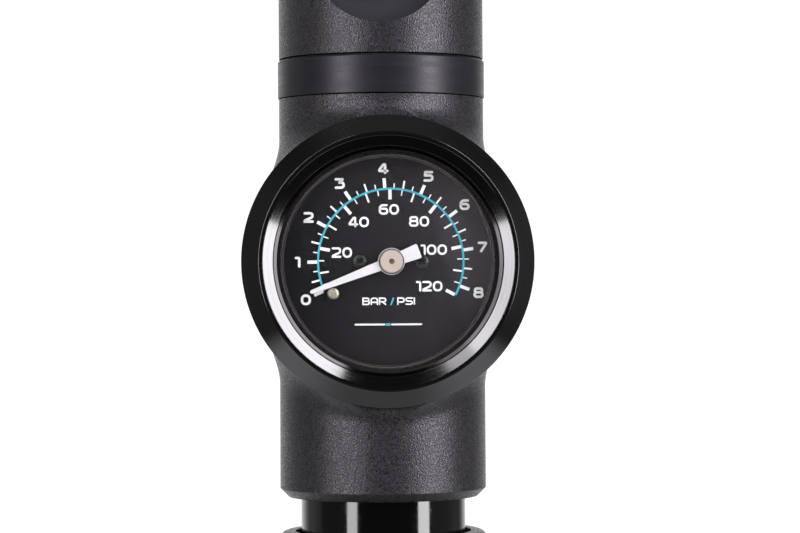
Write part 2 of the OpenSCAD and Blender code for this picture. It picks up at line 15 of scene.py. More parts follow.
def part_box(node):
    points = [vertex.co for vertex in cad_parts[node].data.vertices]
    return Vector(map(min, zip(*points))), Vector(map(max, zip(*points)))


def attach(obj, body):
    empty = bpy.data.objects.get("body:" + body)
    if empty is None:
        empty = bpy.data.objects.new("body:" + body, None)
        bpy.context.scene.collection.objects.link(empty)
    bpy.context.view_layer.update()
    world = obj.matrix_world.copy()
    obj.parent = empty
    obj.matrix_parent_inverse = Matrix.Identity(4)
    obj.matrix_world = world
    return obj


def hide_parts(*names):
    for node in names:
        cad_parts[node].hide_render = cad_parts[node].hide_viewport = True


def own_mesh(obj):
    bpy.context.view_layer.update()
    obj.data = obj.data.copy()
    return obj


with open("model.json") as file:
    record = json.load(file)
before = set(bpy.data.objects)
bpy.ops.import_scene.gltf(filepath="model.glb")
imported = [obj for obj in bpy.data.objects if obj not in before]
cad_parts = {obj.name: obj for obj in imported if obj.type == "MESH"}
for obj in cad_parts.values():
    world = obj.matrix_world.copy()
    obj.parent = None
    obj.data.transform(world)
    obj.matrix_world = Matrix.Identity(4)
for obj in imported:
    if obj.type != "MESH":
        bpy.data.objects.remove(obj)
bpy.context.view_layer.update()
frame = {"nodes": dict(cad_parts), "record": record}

MM = 0.001
JOINTS = {joint["name"]: joint for joint in frame["record"]["behaviour"]["joints"]}


# -------- sizes from the frame

def span(node, axis):
    """Lowest and highest place of a node along an axis (0, 1 or 2), in millimetres."""
    low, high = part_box(node)
    return low[axis] / MM, high[axis] / MM


def radius_of(node):
    """Radius of a round upright node, in millimetres."""
    low, high = span(node, 0)
    return (high - low) / 2


DIAL_X, _, GAUGE_Z = (value / MM for value in JOINTS["needle_turn"]["pos_m"])
BODY_LOW, BODY_HIGH = span("gauge_body", 2)
CAP_LOW, CAP_HIGH = span("head_cap", 2)
CAP_R = radius_of("head_cap")
BARREL_R = radius_of("barrel")
BEZEL_R = radius_of("bezel")
CASE_R = radius_of("gauge_case")
BOSS_R = radius_of("gauge_body")
BODY_R, BODY_DRAFT = 14.05, 0.1
CAP_BORE_R = 12.05
DISH_R, DISH_FLOOR = 8.85, -10.3
SLEEVE_R = BARREL_R + 2.3
BOSS_FRONT = span("gauge_body", 1)[0]
CASE_BACK = span("gauge_case", 1)[1]
DIAL_FRONT = span("dial_plate", 1)[0]
LENS_FRONT, LENS_BACK = span("gauge_lens", 1)
CREST_Y = span("bezel", 1)[0]
NEEDLE_FRONT, NEEDLE_BACK = span("needle", 1)
HUB_FRONT, HUB_BACK = span("needle_hub", 1)
BUTTON_X = sum(span("bleed_button", 0)) / 2
BUTTON_Z = sum(span("bleed_button", 2)) / 2
NEEDLE_REST = -110.7


# -------- mesh making

def add_object(name, data):
    thing = bpy.data.objects.new(name, data)
    bpy.context.scene.collection.objects.link(thing)
    return thing


def start_mesh(points, faces):
    """An editable mesh from points in millimetres."""
    mesh = bpy.data.meshes.new("start")
    mesh.from_pydata([tuple(c * MM for c in point) for point in points], [], faces)
    edit = bmesh.new()
    edit.from_mesh(mesh)
    bpy.data.meshes.remove(mesh)
    return edit


def thicken(edit, depth, **how):
    """Gives flat faces a depth along y, in millimetres."""
    grown = bmesh.ops.extrude_face_region(edit, geom=edit.faces[:], **how)
    moved = [item for item in grown["geom"] if isinstance(item, bmesh.types.BMVert)]
    bmesh.ops.translate(edit, verts=moved, vec=(0, depth * MM, 0))
    bmesh.ops.recalc_face_normals(edit, faces=edit.faces)


def make_piece(name, points, faces, body, material, replaces=(), slot=None, sharp=35):
    """One mesh piece from points in millimetres, riding on a CAD body."""
    edit = start_mesh(points, faces)
    bmesh.ops.remove_doubles(edit, verts=edit.verts, dist=1e-7)
    bmesh.ops.recalc_face_normals(edit, faces=edit.faces)
    return finish_piece(name, edit, body, material, replaces, sharp)


def finish_piece(name, edit, body, material, replaces=(), sharp=35):
    mesh = bpy.data.meshes.new(name)
    edit.to_mesh(mesh)
    edit.free()
    mesh.materials.append(material)
    mesh.polygons.foreach_set("use_smooth", [True] * len(mesh.polygons))
    mesh.set_sharp_from_angle(angle=math.radians(sharp))
    piece = add_object(name, mesh)
    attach(piece, body)
    if replaces:
        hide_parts(*replaces)
    return piece


def round_corners(corners, closed=True, step=15, held=False):
    """Turns corners (a, b, radius) into points, with an arc at each corner that has a radius.

    Held arcs get one more point on each side, which keeps the shading of the flats level.
    """
    points = []
    count = len(corners)
    for index, (a, b, radius) in enumerate(corners):
        here = Vector((a, b))
        if radius <= 0 or (not closed and index in (0, count - 1)):
            points.append(here)
            continue
        before = Vector(corners[index - 1][:2]) - here
        after = Vector(corners[(index + 1) % count][:2]) - here
        half = before.angle(after) / 2
        reach = min(radius / math.tan(half), before.length * 0.499, after.length * 0.499)
        radius = reach * math.tan(half)
        holds = [min(radius / 4, (side.length / 2 - reach) * 0.9) if held else 0 for side in (before, after)]
        centre = here + (before.normalized() + after.normalized()).normalized() * radius / math.sin(half)
        start = here + before.normalized() * reach - centre
        end = here + after.normalized() * reach - centre
        sweep = start.angle_signed(end)
        steps = max(2, math.ceil(math.degrees(abs(sweep)) / step))
        if holds[0] > 0:
            points.append(here + before.normalized() * (reach + holds[0]))
        for turn in range(steps + 1):
            points.append(centre + Matrix.Rotation(-sweep * turn / steps, 2) @ start)
        if holds[1] > 0:
            points.append(here + after.normalized() * (reach + holds[1]))
    return points


def upright(r, height, turn, x=0, _=0):
    """Place of a lathe point about the pump's axis."""
    return (x + r * math.cos(turn), r * math.sin(turn), height)


def facing(r, depth, turn, x=0, z=GAUGE_Z):
    """Place of a lathe point about an axis that faces the front; depth is its y."""
    return (x + r * math.cos(turn), depth, z + r * math.sin(turn))


def lathe(name, corners, body, material, place=upright, x=0, z=GAUGE_Z, closed=True, segments=160, **extra):
    """Turns an outline of corners (radius, height or depth, rounding) about its axis."""
    outline = round_corners(corners, closed, held=True)
    points = []
    for r, along in outline:
        for index in range(segments):
            points.append(place(r, along, 2 * math.pi * index / segments, x, z))
    faces = []
    rows = len(outline)
    for row in range(rows if closed else rows - 1):
        low, high = row * segments, (row + 1) % rows * segments
        for index in range(segments):
            following = (index + 1) % segments
            faces.append((low + index, low + following, high + following, high + index))
    return make_piece(name, points, faces, body, material, **extra)


# -------- shapes from distance fields

def round_and(a, b, radius):
    """Both shapes at once, with their shared edge rounded."""
    return np.minimum(-radius, np.maximum(a, b)) + np.hypot(np.maximum(radius + a, 0), np.maximum(radius + b, 0))


def round_or(a, b, radius):
    """Either shape, with a fillet where they meet."""
    return np.maximum(radius, np.minimum(a, b)) - np.hypot(np.maximum(radius - a, 0), np.maximum(radius - b, 0))


def cut(a, b, radius=0.0):
    """Shape a without shape b."""
    return round_and(a, -b, radius) if radius else np.maximum(a, -b)


def slope(field, points, step=0.004):
    """Direction in which the field rises, at each point."""
    rise = np.empty_like(points)
    for axis in range(3):
        ahead, behind = points.copy(), points.copy()
        ahead[:, axis] += step
        behind[:, axis] -= step
        rise[:, axis] = field(*ahead.T) - field(*behind.T)
    return rise / np.maximum(np.linalg.norm(rise, axis=1, keepdims=True), 1e-9)


def surface_net(field, low, high, cell):
    """Points and quads over the zero level of a distance field, with its creases kept sharp.

    Each grid cell that the surface crosses gets one point, where the planes through its
    crossings meet. The field's box has to be clear of the surface by a cell.
    """
    low = np.array(low, float)
    axes = [np.arange(low[axis], high[axis] + cell, cell) for axis in range(3)]
    value = field(*np.meshgrid(*axes, indexing="ij"))
    cells = np.array(value.shape) - 1
    rings, flips, places = [], [], []
    for axis in range(3):
        first = value[tuple(slice(None, -1) if k == axis else slice(None) for k in range(3))]
        second = value[tuple(slice(1, None) if k == axis else slice(None) for k in range(3))]
        crossed = (first < 0) != (second < 0)
        index = np.argwhere(crossed)
        inside = first[crossed] < 0
        near, far = low + index * cell, low + index * cell
        far[:, axis] += cell
        for _ in range(12):
            middle = (near + far) / 2
            same = ((field(*middle.T) < 0) == inside)[:, None]
            near, far = np.where(same, middle, near), np.where(same, far, middle)
        places.append((near + far) / 2)
        flips.append(inside == (axis == 1))
        across = [k for k in range(3) if k != axis]
        ring = []
        for step in ((0, 0), (1, 0), (1, 1), (0, 1)):
            neighbour = index.copy()
            neighbour[:, across] -= step
            ring.append(np.ravel_multi_index(neighbour.T, cells))
        rings.append(np.stack(ring, axis=1))
    place, flip = np.concatenate(places), np.concatenate(flips)
    used, ring = np.unique(np.concatenate(rings), return_inverse=True)
    ring = ring.reshape(-1, 4)
    normal = slope(field, place)

    def gather(amount):
        return sum(np.bincount(ring[:, corner], amount, len(used)) for corner in range(4))

    count = gather(None)
    centre = np.stack([gather(place[:, k]) for k in range(3)], axis=1) / count[:, None]
    tilt = np.stack([gather(normal[:, k]) for k in range(3)], axis=1) / count[:, None]
    planes = np.empty((len(used), 3, 3))
    for k in range(3):
        for m in range(3):
            planes[:, k, m] = gather(normal[:, k] * normal[:, m])
    reach = (normal * place).sum(axis=1)
    target = np.stack([gather(normal[:, k] * reach) for k in range(3)], axis=1)
    target -= np.einsum("nkm,nm->nk", planes, centre)
    shift = np.linalg.solve(planes + np.eye(3) * 0.03, target[:, :, None])[:, :, 0]
    points = centre + np.clip(shift, -0.8 * cell, 0.8 * cell)
    smooth = np.linalg.norm(tilt, axis=1) > 0.985
    level = points[smooth]
    for _ in range(3):
        level = level - slope(field, level) * np.clip(field(*level.T), -0.2, 0.2)[:, None]
    points[smooth] = level
    return points, np.where(flip[:, None], ring, ring[:, ::-1])


def field_piece(name, field, low, high, cell, body, material, replaces, sharp=40):
    points, quads = surface_net(field, low, high, cell)
    return make_piece(name, points.tolist(), quads.tolist(), body, material, replaces, None, sharp)


# -------- materials

class Nodes:
    """A node tree with short ways to add to it."""

    def __init__(self, tree):
        self.tree = tree

    def feed(self, node, socket, value):
        """Sets an input from a number or a colour, or links another node's output to it."""
        if isinstance(value, bpy.types.NodeSocket):
            self.tree.links.new(value, node.inputs[socket])
        else:
            node.inputs[socket].default_value = value

    def add(self, kind, inputs, **settings):
        node = self.tree.nodes.new(kind)
        for key, value in settings.items():
            setattr(node, key, value)
        for socket, value in inputs.items():
            self.feed(node, socket, value)
        return node

    def math(self, operation, first, second=0.0):
        return self.add("ShaderNodeMath", {0: first, 1: second}, operation=operation).outputs[0]

    def spread(self, value, low, high, low_from=0.3, high_from=0.7, **settings):
        """Maps a value onto the range low to high; noise mostly lies between 0.3 and 0.7."""
        inputs = {"Value": value, "From Min": low_from, "From Max": high_from, "To Min": low, "To Max": high}
        return self.add("ShaderNodeMapRange", inputs, **settings).outputs["Result"]


class Surface(Nodes):
    """A node material whose shader is given its detail by a few short calls."""

    def __init__(self, name, color, roughness, **sockets):
        self.material = bpy.data.materials.new(name)
        self.material.use_nodes = True
        super().__init__(self.material.node_tree)
        self.shader = self.tree.nodes["Principled BSDF"]
        self.color, self.roughness = (*color, 1), roughness
        self.feed(self.shader, "Base Color", self.color)
        self.feed(self.shader, "Roughness", roughness)
        for socket, value in sockets.items():
            self.feed(self.shader, socket.replace("_", " "), value)
        self.place = self.add("ShaderNodeTexCoord", {}).outputs["Object"]

    def noise(self, size_mm, detail=2.0, rough=0.5, place=None):
        """Noise with features of about size_mm."""
        inputs = {"Vector": place or self.place, "Scale": 1 / (size_mm * MM), "Detail": detail, "Roughness": rough}
        return self.add("ShaderNodeTexNoise", inputs).outputs["Fac"]

    def cells(self, size_mm):
        """A domed cell about size_mm across: its height, and a random value of its own."""
        node = self.add("ShaderNodeTexVoronoi", {"Vector": self.place, "Scale": 1 / (size_mm * MM)})
        shade = self.add("ShaderNodeSeparateColor", {"Color": node.outputs["Color"]})
        return self.math("SUBTRACT", 1.0, node.outputs["Distance"]), shade.outputs["Red"]

    def place_from(self, origin):
        """Place on the surface, counted from an origin in millimetres."""
        inputs = {0: self.place, 1: tuple(c * MM for c in origin)}
        return self.add("ShaderNodeVectorMath", inputs, operation="SUBTRACT").outputs[0]

    def along(self, way, origin):
        """Distance along a direction from an origin in millimetres."""
        inputs = {0: self.place_from(origin), 1: way}
        return self.add("ShaderNodeVectorMath", inputs, operation="DOT_PRODUCT").outputs["Value"]

    def turned(self, facing_front, pitch_mm, centre=(0, 0, 0)):
        """Noise in rings about an axis, as a lathe leaves it."""
        parts = self.add("ShaderNodeSeparateXYZ", {"Vector": self.place_from(centre)}).outputs
        across, along = (parts["Z"], parts["Y"]) if facing_front else (parts["Y"], parts["Z"])
        square = self.math("ADD", self.math("POWER", parts["X"], 2.0), self.math("POWER", across, 2.0))
        self.radius = self.math("SQRT", square)
        turn = self.math("MULTIPLY", self.math("ARCTAN2", across, parts["X"]), pitch_mm * MM * 0.6)
        rings = self.add("ShaderNodeCombineXYZ", {"X": self.radius, "Y": along, "Z": turn})
        return self.noise(pitch_mm, 3, 0.6, rings.outputs[0])

    def vary_roughness(self, value, amount):
        self.feed(self.shader, "Roughness", self.spread(value, self.roughness - amount, self.roughness + amount))

    def vary_color(self, value, other):
        inputs = {"Factor": self.spread(value, 0.0, 1.0), 6: self.color, 7: (*other, 1)}
        mix = self.add("ShaderNodeMix", inputs, data_type="RGBA")
        self.feed(self.shader, "Base Color", mix.outputs[2])

    def bump(self, value, height_mm, strength=1.0):
        """Adds relief on top of the relief that is already there."""
        node = self.add("ShaderNodeBump", {"Height": value, "Distance": height_mm * MM, "Strength": strength})
        for earlier in self.shader.inputs["Normal"].links:
            self.feed(node, "Normal", earlier.from_socket)
        self.feed(self.shader, "Normal", node.outputs["Normal"])


PLASTIC_TINT = (0.96, 0.92, 1.0, 1)


def moulded_plastic():
    """Dark grey nylon with the fine pits of a spark-eroded mould."""
    surface = Surface("moulded_plastic", (0.011, 0.0098, 0.0125), 0.38, Specular_IOR_Level=0.68,
                      Specular_Tint=PLASTIC_TINT)
    height, shade = surface.cells(0.21)
    surface.vary_color(shade, (0.031, 0.0285, 0.0335))
    surface.vary_roughness(surface.noise(0.26, 2), 0.16)
    surface.bump(height, 0.036, 1.0)
    return surface.material


def dish_plastic():
    """The same nylon, moulded against a smoother steel, and painted lighter: painted light that cancels the shade
    inside the thumb dish.
    """
    surface = Surface("dish_plastic", (0.030, 0.0285, 0.034), 0.5, Specular_IOR_Level=0.5,
                      Specular_Tint=PLASTIC_TINT)
    surface.vary_color(surface.noise(0.25, 3, 0.6), (0.036, 0.0342, 0.041))
    surface.vary_roughness(surface.noise(0.4, 2), 0.05)
    surface.bump(surface.noise(0.3, 2), 0.012, 0.8)
    return surface.material


def satin_plastic():
    surface = Surface("satin_plastic", (0.0128, 0.0121, 0.0166), 0.38, Specular_IOR_Level=0.46,
                      Specular_Tint=PLASTIC_TINT)
    surface.vary_color(surface.noise(5, 3), (0.0168, 0.0160, 0.0206))
    surface.vary_roughness(surface.turned(False, 0.5), 0.05)
    surface.bump(surface.turned(False, 0.25), 0.006, 0.5)
    surface.bump(surface.noise(0.25, 3), 0.012, 0.6)
    return surface.material


def anodised_barrel():
    surface = Surface("anodised_barrel", (0.0012, 0.0012, 0.0016), 0.09, Specular_IOR_Level=0.68)
    surface.vary_color(surface.noise(14, 3), (0.0022, 0.0022, 0.0026))
    surface.vary_roughness(surface.noise(1.5, 4), 0.025)
    surface.bump(surface.turned(False, 0.16), 0.0012, 0.5)
    return surface.material


def turned_black(name="turned_black", shade=1.0):
    """Black bezel, turned and then polished."""
    surface = Surface(name, tuple(c * shade for c in (0.100, 0.097, 0.102)), 0.12, Metallic=1.0)
    darker = tuple(c * 0.9 * shade for c in (0.100, 0.097, 0.102))
    surface.vary_color(surface.turned(True, 0.5, (0, 0, GAUGE_Z)), darker)
    surface.feed(surface.shader, "Metallic", surface.spread(surface.radius, 1.0, 0.955, 16.8 * MM, 17.0 * MM))
    surface.vary_roughness(surface.turned(True, 0.1, (0, 0, GAUGE_Z)), 0.05)
    surface.bump(surface.turned(True, 0.06, (0, 0, GAUGE_Z)), 0.0012, 0.5)
    return surface.material


def grip_rubber():
    surface = Surface("grip_rubber", (0.018, 0.018, 0.019), 0.62, Specular_IOR_Level=0.4)
    surface.vary_color(surface.noise(6, 4), (0.026, 0.026, 0.027))
    surface.vary_roughness(surface.noise(0.8, 3), 0.08)
    surface.bump(surface.noise(0.28, 3, 0.6), 0.02, 0.7)
    return surface.material


def seal_rubber():
    surface = Surface("seal_rubber", (0.014, 0.014, 0.014), 0.45)
    surface.vary_roughness(surface.noise(0.4, 3), 0.08)
    surface.bump(surface.noise(0.2, 2), 0.004, 0.5)
    return surface.material


def machined(name, color, roughness, pitch=0.15):
    surface = Surface(name, color, roughness, Metallic=1.0)
    darker = tuple(c * 0.86 for c in color)
    surface.vary_color(surface.noise(2.5, 4), darker)
    surface.vary_roughness(surface.turned(False, pitch), 0.08)
    surface.bump(surface.turned(False, pitch), 0.002, 0.5)
    return surface.material


def dial_lacquer():
    surface = Surface("dial_lacquer", (0.0045, 0.0037, 0.0056), 0.22, Specular_IOR_Level=0.55)
    # Painted light: the dial's colour grows lighter towards the right and slightly upwards, along a wavy gradient,
    # where the light falls more strongly.
    painted_light = surface.along((0.965, 0, 0.26), (DIAL_X, DIAL_FRONT, GAUGE_Z))
    painted_light_wobble = surface.math("MULTIPLY", surface.noise(7, 3), 2 * MM)
    painted_light = surface.math("ADD", painted_light, painted_light_wobble)
    # Painted light as well: the dial grows lighter still near its right edge, against the shade of the bezel there.
    edge = surface.spread(painted_light, 0, 0.26, 7.5 * MM, 12.5 * MM)
    painted_light = surface.math("ADD", surface.spread(painted_light, 0.3, 0.44, -12 * MM, 9 * MM), edge)
    surface.vary_color(painted_light, (0.045, 0.0405, 0.047))
    surface.vary_roughness(surface.noise(0.6, 3), 0.03)
    surface.bump(surface.noise(0.5, 2), 0.001, 0.4)
    return surface.material


def paint(name, color, roughness=0.35):
    """Printed or sprayed colour, slightly uneven."""
    surface = Surface(name, color, roughness)
    surface.vary_color(surface.noise(0.5, 4), tuple(c * 0.93 for c in color))
    surface.vary_roughness(surface.noise(0.3, 2), 0.05)
    surface.bump(surface.noise(0.12, 2), 0.001, 0.4)
    return surface.material


def window_glass():
    surface = Surface("window_glass", (1, 1, 1), 0.0, IOR=1.49, Transmission_Weight=1.0)
    surface.bump(surface.noise(12, 1), 0.002, 0.15)
    return surface.material


PLASTIC = moulded_plastic()
SATIN = satin_plastic()
DISH = dish_plastic()
BARREL = anodised_barrel()
BEZEL = turned_black()
GRIP = grip_rubber()
SEAL = seal_rubber()
STEEL = machined("machined_steel", (0.56, 0.56, 0.57), 0.28)
PIN_STEEL = machined("stop_pin_steel", (0.45, 0.41, 0.355), 0.42, 0.1)
NICKEL = machined("nickel_plate", (0.42, 0.41, 0.40), 0.2, 0.3)
ALUMINIUM = machined("machined_aluminium", (0.62, 0.63, 0.65), 0.3)
BRASS = machined("machined_brass", (0.66, 0.47, 0.20), 0.25)
DARK_BRASS = machined("staked_brass", (0.34, 0.23, 0.11), 0.35)
BLACKENED = machined("blackened_screw", (0.030, 0.030, 0.032), 0.35, 0.1)
DIAL = dial_lacquer()
WHITE_PRINT = paint("white_print", (0.72, 0.72, 0.735))
CYAN_PRINT = paint("cyan_print", (0.036, 0.30, 0.40))
NEEDLE_PAINT = paint("needle_enamel", (0.54, 0.525, 0.555), 0.3)
HUB_PAINT = paint("hub_moulding", (0.355, 0.30, 0.275), 0.35)
GASKET = paint("gasket_moulding", (0.019, 0.0165, 0.0175), 0.3)
GASKET_EDGE = paint("gasket_edge", (0.075, 0.064, 0.063), 0.22)
BEAD = turned_black("lens_bead", 0.36)
SCREW_BLACK = paint("screw_black", (0.007, 0.0065, 0.0075), 0.3)
GLASS = window_glass()

NODE_MATERIALS = {
    "aluminium": ALUMINIUM, "steel": STEEL, "brass": BRASS, "seal_rubber": SEAL, "ring_plastic": SATIN,
    "body_plastic": PLASTIC, "barrel_black": BARREL, "bezel_black": BEZEL, "grip_rubber": GRIP,
    "gasket": GASKET, "lens": GLASS, "dial_black": DIAL, "screw_black": BLACKENED,
    "needle_white": NEEDLE_PAINT, "hub_beige": HUB_PAINT, "button_plastic": SATIN, "swivel_metal": NICKEL,
}


def dress_nodes():
    """Gives every CAD node the finish of its material slot."""
    for part in frame["record"]["subparts"]:
        mesh = frame["nodes"][part["node"]].data
        mesh.materials.clear()
        mesh.materials.append(NODE_MATERIALS[part["material_slot"]])


# -------- head of the pump

def body_field(x, y, z):
    """Gauge body: a drafted tube with a boss for the gauge, blended by a fillet."""
    rim, fillet, back, back_round = 1.15, 3.5, 2.0, 4.0
    bore_high = span("air_manifold", 2)[0] + 10
    floor_y, hollow_r, bore_r, skirt_y, skirt_r = 0.6, 12.3, BARREL_R + 0.05, -12.4, 17.5
    rho = np.hypot(x, y)
    side = rho - BODY_R - BODY_DRAFT * (BODY_HIGH - z) / (BODY_HIGH - BODY_LOW)
    chamfer = (rho - BODY_R - BODY_DRAFT + BODY_LOW - z + rim) / math.sqrt(2)
    tube = np.maximum(side, np.maximum(BODY_LOW - z, z - BODY_HIGH))
    from_gauge = np.hypot(x, z - GAUGE_Z)
    boss = round_and(from_gauge - BOSS_R, y - back, back_round)
    shell = round_or(tube, boss, fillet)
    shell = np.maximum(np.maximum(shell, chamfer), np.maximum(BOSS_FRONT - y, z - BODY_HIGH))
    shell = cut(shell, np.maximum(rho - bore_r, z - bore_high))
    hollow = np.maximum(np.maximum(rho - hollow_r, floor_y - y), bore_high - z)
    case = np.maximum(from_gauge - CASE_R - 0.05, y - CASE_BACK)
    skirt = np.maximum(from_gauge - skirt_r, y - skirt_y)
    return cut(cut(shell, hollow), np.minimum(case, skirt))


def cap_field(x, y, z):
    """Head cap: a domed cylinder with a flat round thumb dish in front."""
    edge, button_r, flat_y, roof, neck_r = 2.5, 4.8, -8.5, 3.0, 4.6
    rho = np.hypot(x, y)
    shell = np.maximum(round_and(rho - CAP_R, z - CAP_HIGH, edge), CAP_LOW - z)
    from_button = np.hypot(x - BUTTON_X, z - BUTTON_Z)
    shell = cut(shell, np.maximum(from_button - DISH_R, y - DISH_FLOOR))
    shell = cut(shell, np.maximum(from_button - button_r, y - flat_y - 1))
    shell = cut(shell, np.maximum(rho - neck_r, CAP_HIGH - roof - 1 - z))
    inner = np.maximum(np.maximum(rho - CAP_BORE_R, flat_y - y), z - CAP_HIGH + roof)
    return cut(shell, inner)


def make_head():
    """Gauge body and cap, which fields can blend, with the turned parts that sit on them."""
    cell = 0.4
    reach = BOSS_R + 1
    field_piece("gauge_body_shell", body_field, (-reach, BOSS_FRONT - 1, BODY_LOW - 1),
                (reach, BODY_R + 1, BODY_HIGH + 1), cell, "pump_body", PLASTIC, ["gauge_body"])
    reach = CAP_R + 1
    field_piece("head_cap_shell", cap_field, (-reach, -reach, CAP_LOW - 1), (reach, reach, CAP_HIGH + 1),
                cell, "pump_body", PLASTIC, ["head_cap"])
    inner, outer, proud = 4.85, DISH_R - 0.07, 0.12
    # The plate's lighter nylon is painted light, against the shade in the thumb dish.
    lathe("thumb_plate",
          [(inner, DISH_FLOOR, 0), (inner, DISH_FLOOR - proud, 0.08), (outer, DISH_FLOOR - proud, 0.08),
           (outer, DISH_FLOOR, 0)],
          "pump_body", DISH, place=facing, x=BUTTON_X, z=BUTTON_Z, slot="body_plastic")
    make_mould_line()
    low, high = span("collar_ring", 2)
    outer, chamfer = radius_of("collar_ring"), 0.3
    lathe("collar_band", [(CAP_BORE_R, low, 0), (outer, low, 0.06), (outer, high - chamfer, 0.1),
                          (outer - chamfer, high, 0.08), (CAP_BORE_R, high, 0)],
          "pump_body", SATIN, replaces=["collar_ring"])


def make_mould_line():
    """Faint ridge left by the two halves of the mould, down the front of the gauge body."""
    half, sunk, proud, steps = 0.18, 0.02, 0.022, 24
    bottom, top = BODY_LOW + 1.25, GAUGE_Z - BOSS_R - 0.3
    points, faces = [], []
    for step in range(steps + 1):
        z = bottom + (top - bottom) * step / steps
        front = BODY_R + BODY_DRAFT * (BODY_HIGH - z) / (BODY_HIGH - BODY_LOW)
        points += [(-half, sunk - front, z), (0, -front - proud, z), (half, sunk - front, z)]
    for step in range(steps):
        low, high = step * 3, step * 3 + 3
        faces += [(low, low + 1, high + 1, high), (low + 1, low + 2, high + 2, high + 1)]
        faces += [(low, high, high + 2, low + 2)]
    faces += [(0, 2, 1), (steps * 3, steps * 3 + 1, steps * 3 + 2)]
    make_piece("mould_line", points, faces, "pump_body", PLASTIC, slot="body_plastic")


def make_bleed_button():
    front, back = span("bleed_button", 1)
    flange, stem = back - 1, back - 1.5
    head_r, flange_r, stem_r, dent_r = 4.5, 5.7, 1.2, 3.4
    lathe("bleed_button_cap",
          [(0, front + 0.5, 0), (dent_r, front + 0.28, 0.6), (dent_r + 0.5, front, 0.3), (head_r, front, 0.35),
           (head_r, flange, 0), (flange_r, flange, 0.1), (flange_r, back, 0.1), (stem_r, back, 0),
           (stem_r, stem, 0), (0, stem, 0)],
          "bleed", SATIN, place=facing, x=BUTTON_X, z=BUTTON_Z, closed=False, replaces=["bleed_button"])


# -------- hose swivel

def swivel_field(x, y, z):
    """Hose fitting: grooved stem, flange, neck, round base and hexagon, with a threaded port."""
    low, high = span("swivel_outlet", 2)
    base_low = CAP_HIGH + 0.5
    flange_low = base_low - 6.4
    stem_r, groove_r, groove_low, groove_high = 4.0, 3.0, 2.1, 3.3
    flange_r, flange_half, neck_r, base_r, base_half = 5.7, 0.65, 4.1, 7.2, 1.25
    flats_r, corner_r, port_r, port_deep, bore_r, pitch, thread_deep = 6.25, 7.0, 3.5, 8, 1.0, 0.9, 0.22
    rho, turn = np.hypot(x, y), np.arctan2(y, x)
    stem = np.maximum(np.maximum(rho - stem_r, z - flange_low - 0.2), low - z)
    stem = cut(stem, np.maximum(np.maximum(groove_r - rho, z - low - groove_high), low + groove_low - z))
    flange = np.maximum(rho - flange_r, np.abs(z - flange_low - flange_half) - flange_half)
    neck = np.maximum(rho - neck_r, np.maximum(flange_low - z, z - base_low - 0.2))
    base = round_and(rho - base_r, np.abs(z - base_low - base_half) - base_half, 0.35)
    flats = rho * np.cos((turn + math.pi / 6) % (math.pi / 3) - math.pi / 6) - flats_r
    hexagon = round_and(flats, z - high, 0.15)
    hexagon = round_and(hexagon, (rho - corner_r + (z - high) * 0.6) * 0.86, 0.1)
    hexagon = np.maximum(hexagon, base_low + 1 - z)
    body = np.minimum(np.minimum(stem, flange), np.minimum(neck, np.minimum(base, hexagon)))
    thread = (z / pitch - turn / (2 * math.pi)) % 1
    ridge_r = port_r + thread_deep * (1 - np.abs(2 * thread - 1)) * (z < high - 0.7)
    entry = rho - port_r - np.maximum(z - high + 0.6, 0)
    body = cut(body, np.maximum(np.minimum(rho - ridge_r, entry), high - port_deep - z))
    return cut(body, rho - bore_r)


def make_swivel():
    low, high = span("swivel_outlet", 2)
    cell = 0.2
    field_piece("swivel_fitting", swivel_field, (-8, -8, low - 0.5), (8, 8, high + 0.5), cell,
                "hose_swivel", NICKEL, ["swivel_outlet"])


# -------- barrel and handle

def make_barrel():
    low, high = span("barrel", 2)
    inner = 9.8
    lathe("barrel_tube", [(inner, low, 0.2), (BARREL_R, low, 0.4), (BARREL_R, high, 0.2), (inner, high, 0.2)],
          "pump_body", BARREL, replaces=["barrel"])


def make_handle():
    low, high = span("handle_lip", 2)
    lip_r = radius_of("handle_lip")
    inner, sleeve_top = BARREL_R + 0.8, high - 4.5
    lathe("handle_lip_ring",
          [(SLEEVE_R, low, 0), (lip_r, low, 0.3), (lip_r, high, 2.0), (inner, high, 0.1),
           (inner, sleeve_top, 0), (SLEEVE_R, sleeve_top, 0)],
          "handle", SATIN, replaces=["handle_lip"])
    make_grip()
    cap_high = span("handle_end_cap", 2)[1]
    cap_r = radius_of("handle_end_cap")
    plug_r, bore_r, foot, hollow = inner - 0.05, 7.6, 5, 0.35
    lathe("handle_end",
          [(0, hollow, 0), (cap_r - 4.5, hollow, 0.3), (cap_r - 4.0, 0, 0.3), (cap_r, 0, 1.2), (cap_r, foot, 0.15),
           (plug_r, foot, 0), (plug_r, cap_high, 0.2), (bore_r, cap_high, 0), (bore_r, foot, 0), (0, foot, 0)],
          "handle", SATIN, closed=False, replaces=["handle_end_cap"])


def make_grip():
    """Rubber sleeve with soft ribs that run round it."""
    low, high = span("handle_grip", 2)
    grip_r = radius_of("handle_grip")
    ribs, groove, steps = 16, 0.8, 12
    pitch = (high - low) / ribs
    corners = [(SLEEVE_R, low, 0)]
    for rib in range(ribs):
        for step in range(steps):
            along = step / steps
            depth = groove * abs(math.cos(math.pi * along)) ** 6
            corners.append((grip_r - depth, low + pitch * (rib + along), 0))
    corners += [(grip_r - groove, high, 0), (SLEEVE_R, high, 0)]
    lathe("rubber_grip", corners, "handle", GRIP, segments=128, replaces=["handle_grip"], sharp=60)


# -------- gauge

